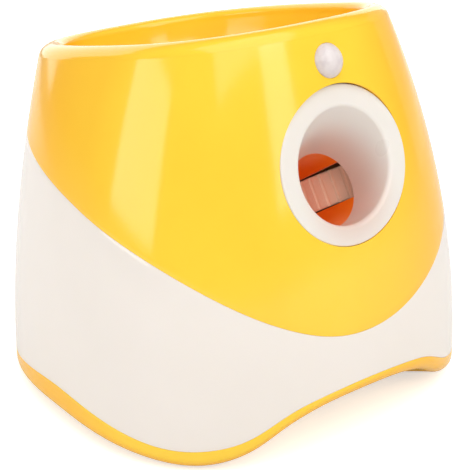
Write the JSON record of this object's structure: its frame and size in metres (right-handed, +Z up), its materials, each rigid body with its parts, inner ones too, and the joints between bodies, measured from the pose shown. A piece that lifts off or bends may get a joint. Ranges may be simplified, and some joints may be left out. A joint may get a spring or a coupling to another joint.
{
  "type": "automatic dog ball launcher",
  "caption": "Hopper-fed electric ball thrower for dogs: rounded tapered body on an arched base, tilted bowl rim, launch funnel with flywheels, pusher and motion sensor.",
  "frame": {"origin": "on the ground under the middle of the overall box", "axes": "+Z up; -Y towards the launch ring; +X to the right side when facing the launcher from behind"},
  "size_m": [0.3202, 0.3067, 0.2826],
  "materials": {
    "yellow_abs": "gloss",
    "white_abs": "gloss",
    "ring_white": "satin",
    "orange_abs": "gloss",
    "lens_milky": "satin",
    "black_plastic": "matte",
    "grey_plastic": "matte",
    "nylon_white": "satin",
    "beige_rubber": "matte",
    "dark_rubber": "matte",
    "steel": "brushed",
    "zinc_steel": "satin",
    "board_green": "satin",
    "paper_cone": "matte",
    "light_guide": "clear",
    "cell_wrap": "gloss",
    "brass_pinion": "satin",
    "button_grey": "satin"
  },
  "bodies": {
    "body": {"upper_shell": "yellow_abs", "hopper_bowl": "yellow_abs", "lower_shell": "white_abs", "base_pan": "yellow_abs", "rubber_feet": "dark_rubber", "launch_nozzle": "ring_white", "pir_lens": "lens_milky", "pir_holder": "black_plastic", "pir_sensor": "zinc_steel", "pir_board": "board_green", "chamber_top": "orange_abs", "chamber_bottom": "orange_abs", "ball_sensors": "black_plastic", "feed_chute": "orange_abs", "right_flywheel_motor": "zinc_steel", "left_flywheel_motor": "zinc_steel", "motor_frame": "grey_plastic", "motor_screws": "steel", "pusher_guide": "orange_abs", "rack_gear_shaft": "steel", "idler_gear_shaft": "steel", "feed_motor": "zinc_steel", "feed_motor_screws": "steel", "left_gear_plate": "zinc_steel", "right_gear_plate": "zinc_steel", "gearbox_spacers": "steel", "gearbox_screws": "steel", "gearbox_foot_screws": "steel", "battery_box": "black_plastic", "battery_cells": "cell_wrap", "battery_contacts": "zinc_steel", "main_board": "board_green", "board_components": "black_plastic", "board_screws": "steel", "speaker_basket": "zinc_steel", "speaker_cone": "paper_cone", "control_panel": "white_abs", "indicator_lights": "light_guide", "control_board": "board_green", "control_board_screws": "steel", "tact_switches": "black_plastic", "dc_jack": "black_plastic", "case_screws": "steel", "chamber_screws": "steel"},
    "right_flywheel": {"right_flywheel_hub": "nylon_white", "right_flywheel_tyre": "beige_rubber", "right_motor_shaft": "steel"},
    "left_flywheel": {"left_flywheel_hub": "nylon_white", "left_flywheel_tyre": "beige_rubber", "left_motor_shaft": "steel"},
    "pusher": {"pusher_head": "grey_plastic", "pusher_rack": "nylon_white"},
    "rack_gear": {"rack_gear": "nylon_white"},
    "idler_gear": {"idler_gear": "nylon_white"},
    "feed_pinion": {"feed_pinion": "brass_pinion", "feed_motor_shaft": "steel"},
    "power_button": {"power_button": "button_grey"},
    "distance_button": {"distance_button": "button_grey"},
    "battery_door": {"battery_door": "yellow_abs"}
  },
  "joints": [
    {"name": "right_flywheel_spin", "type": "hinge", "parent": "body", "child": "right_flywheel", "pos_m": [0.064, -0.0574, 0.1398], "axis": [0, 0.5446, 0.8387], "continuous": true},
    {"name": "left_flywheel_spin", "type": "hinge", "parent": "body", "child": "left_flywheel", "pos_m": [-0.064, -0.0574, 0.1398], "axis": [0, 0.5446, 0.8387], "continuous": true},
    {"name": "rack_gear_turn", "type": "hinge", "parent": "body", "child": "rack_gear", "pos_m": [0, 0.03844, 0.05604], "axis": [1, 0, 0], "range_deg": [-0.5, 200.5]},
    {"name": "idler_gear_turn", "type": "hinge", "parent": "body", "child": "idler_gear", "pos_m": [0, 0.05199, 0.03257], "axis": [1, 0, 0], "range_deg": [-571.93, 0.5]},
    {"name": "feed_pinion_turn", "type": "hinge", "parent": "body", "child": "feed_pinion", "pos_m": [0, 0.07809, 0.03257], "axis": [1, 0, 0], "range_deg": [-0.5, 1905.26]},
    {"name": "pusher_slide", "type": "slide", "parent": "body", "child": "pusher", "axis": [0, -0.8387, 0.5446], "range_m": [0, 0.04189]},
    {"name": "power_button_press", "type": "slide", "parent": "body", "child": "power_button", "axis": [0, -1, 0], "range_m": [0, 0.001], "stiffness_N_per_m": 600},
    {"name": "distance_button_press", "type": "slide", "parent": "body", "child": "distance_button", "axis": [0, -1, 0], "range_m": [0, 0.001], "stiffness_N_per_m": 600},
    {"name": "battery_door_swing", "type": "hinge", "parent": "body", "child": "battery_door", "pos_m": [-0.058, 0.0026, 0.0094], "axis": [0, -1, 0], "range_deg": [0, 95]}
  ],
  "couplings": [
    {"joint": "rack_gear_turn", "follows": "pusher_slide", "rad_per_m": 83.333},
    {"joint": "idler_gear_turn", "follows": "pusher_slide", "rad_per_m": -238.1},
    {"joint": "feed_pinion_turn", "follows": "pusher_slide", "rad_per_m": 793.65}
  ]
}
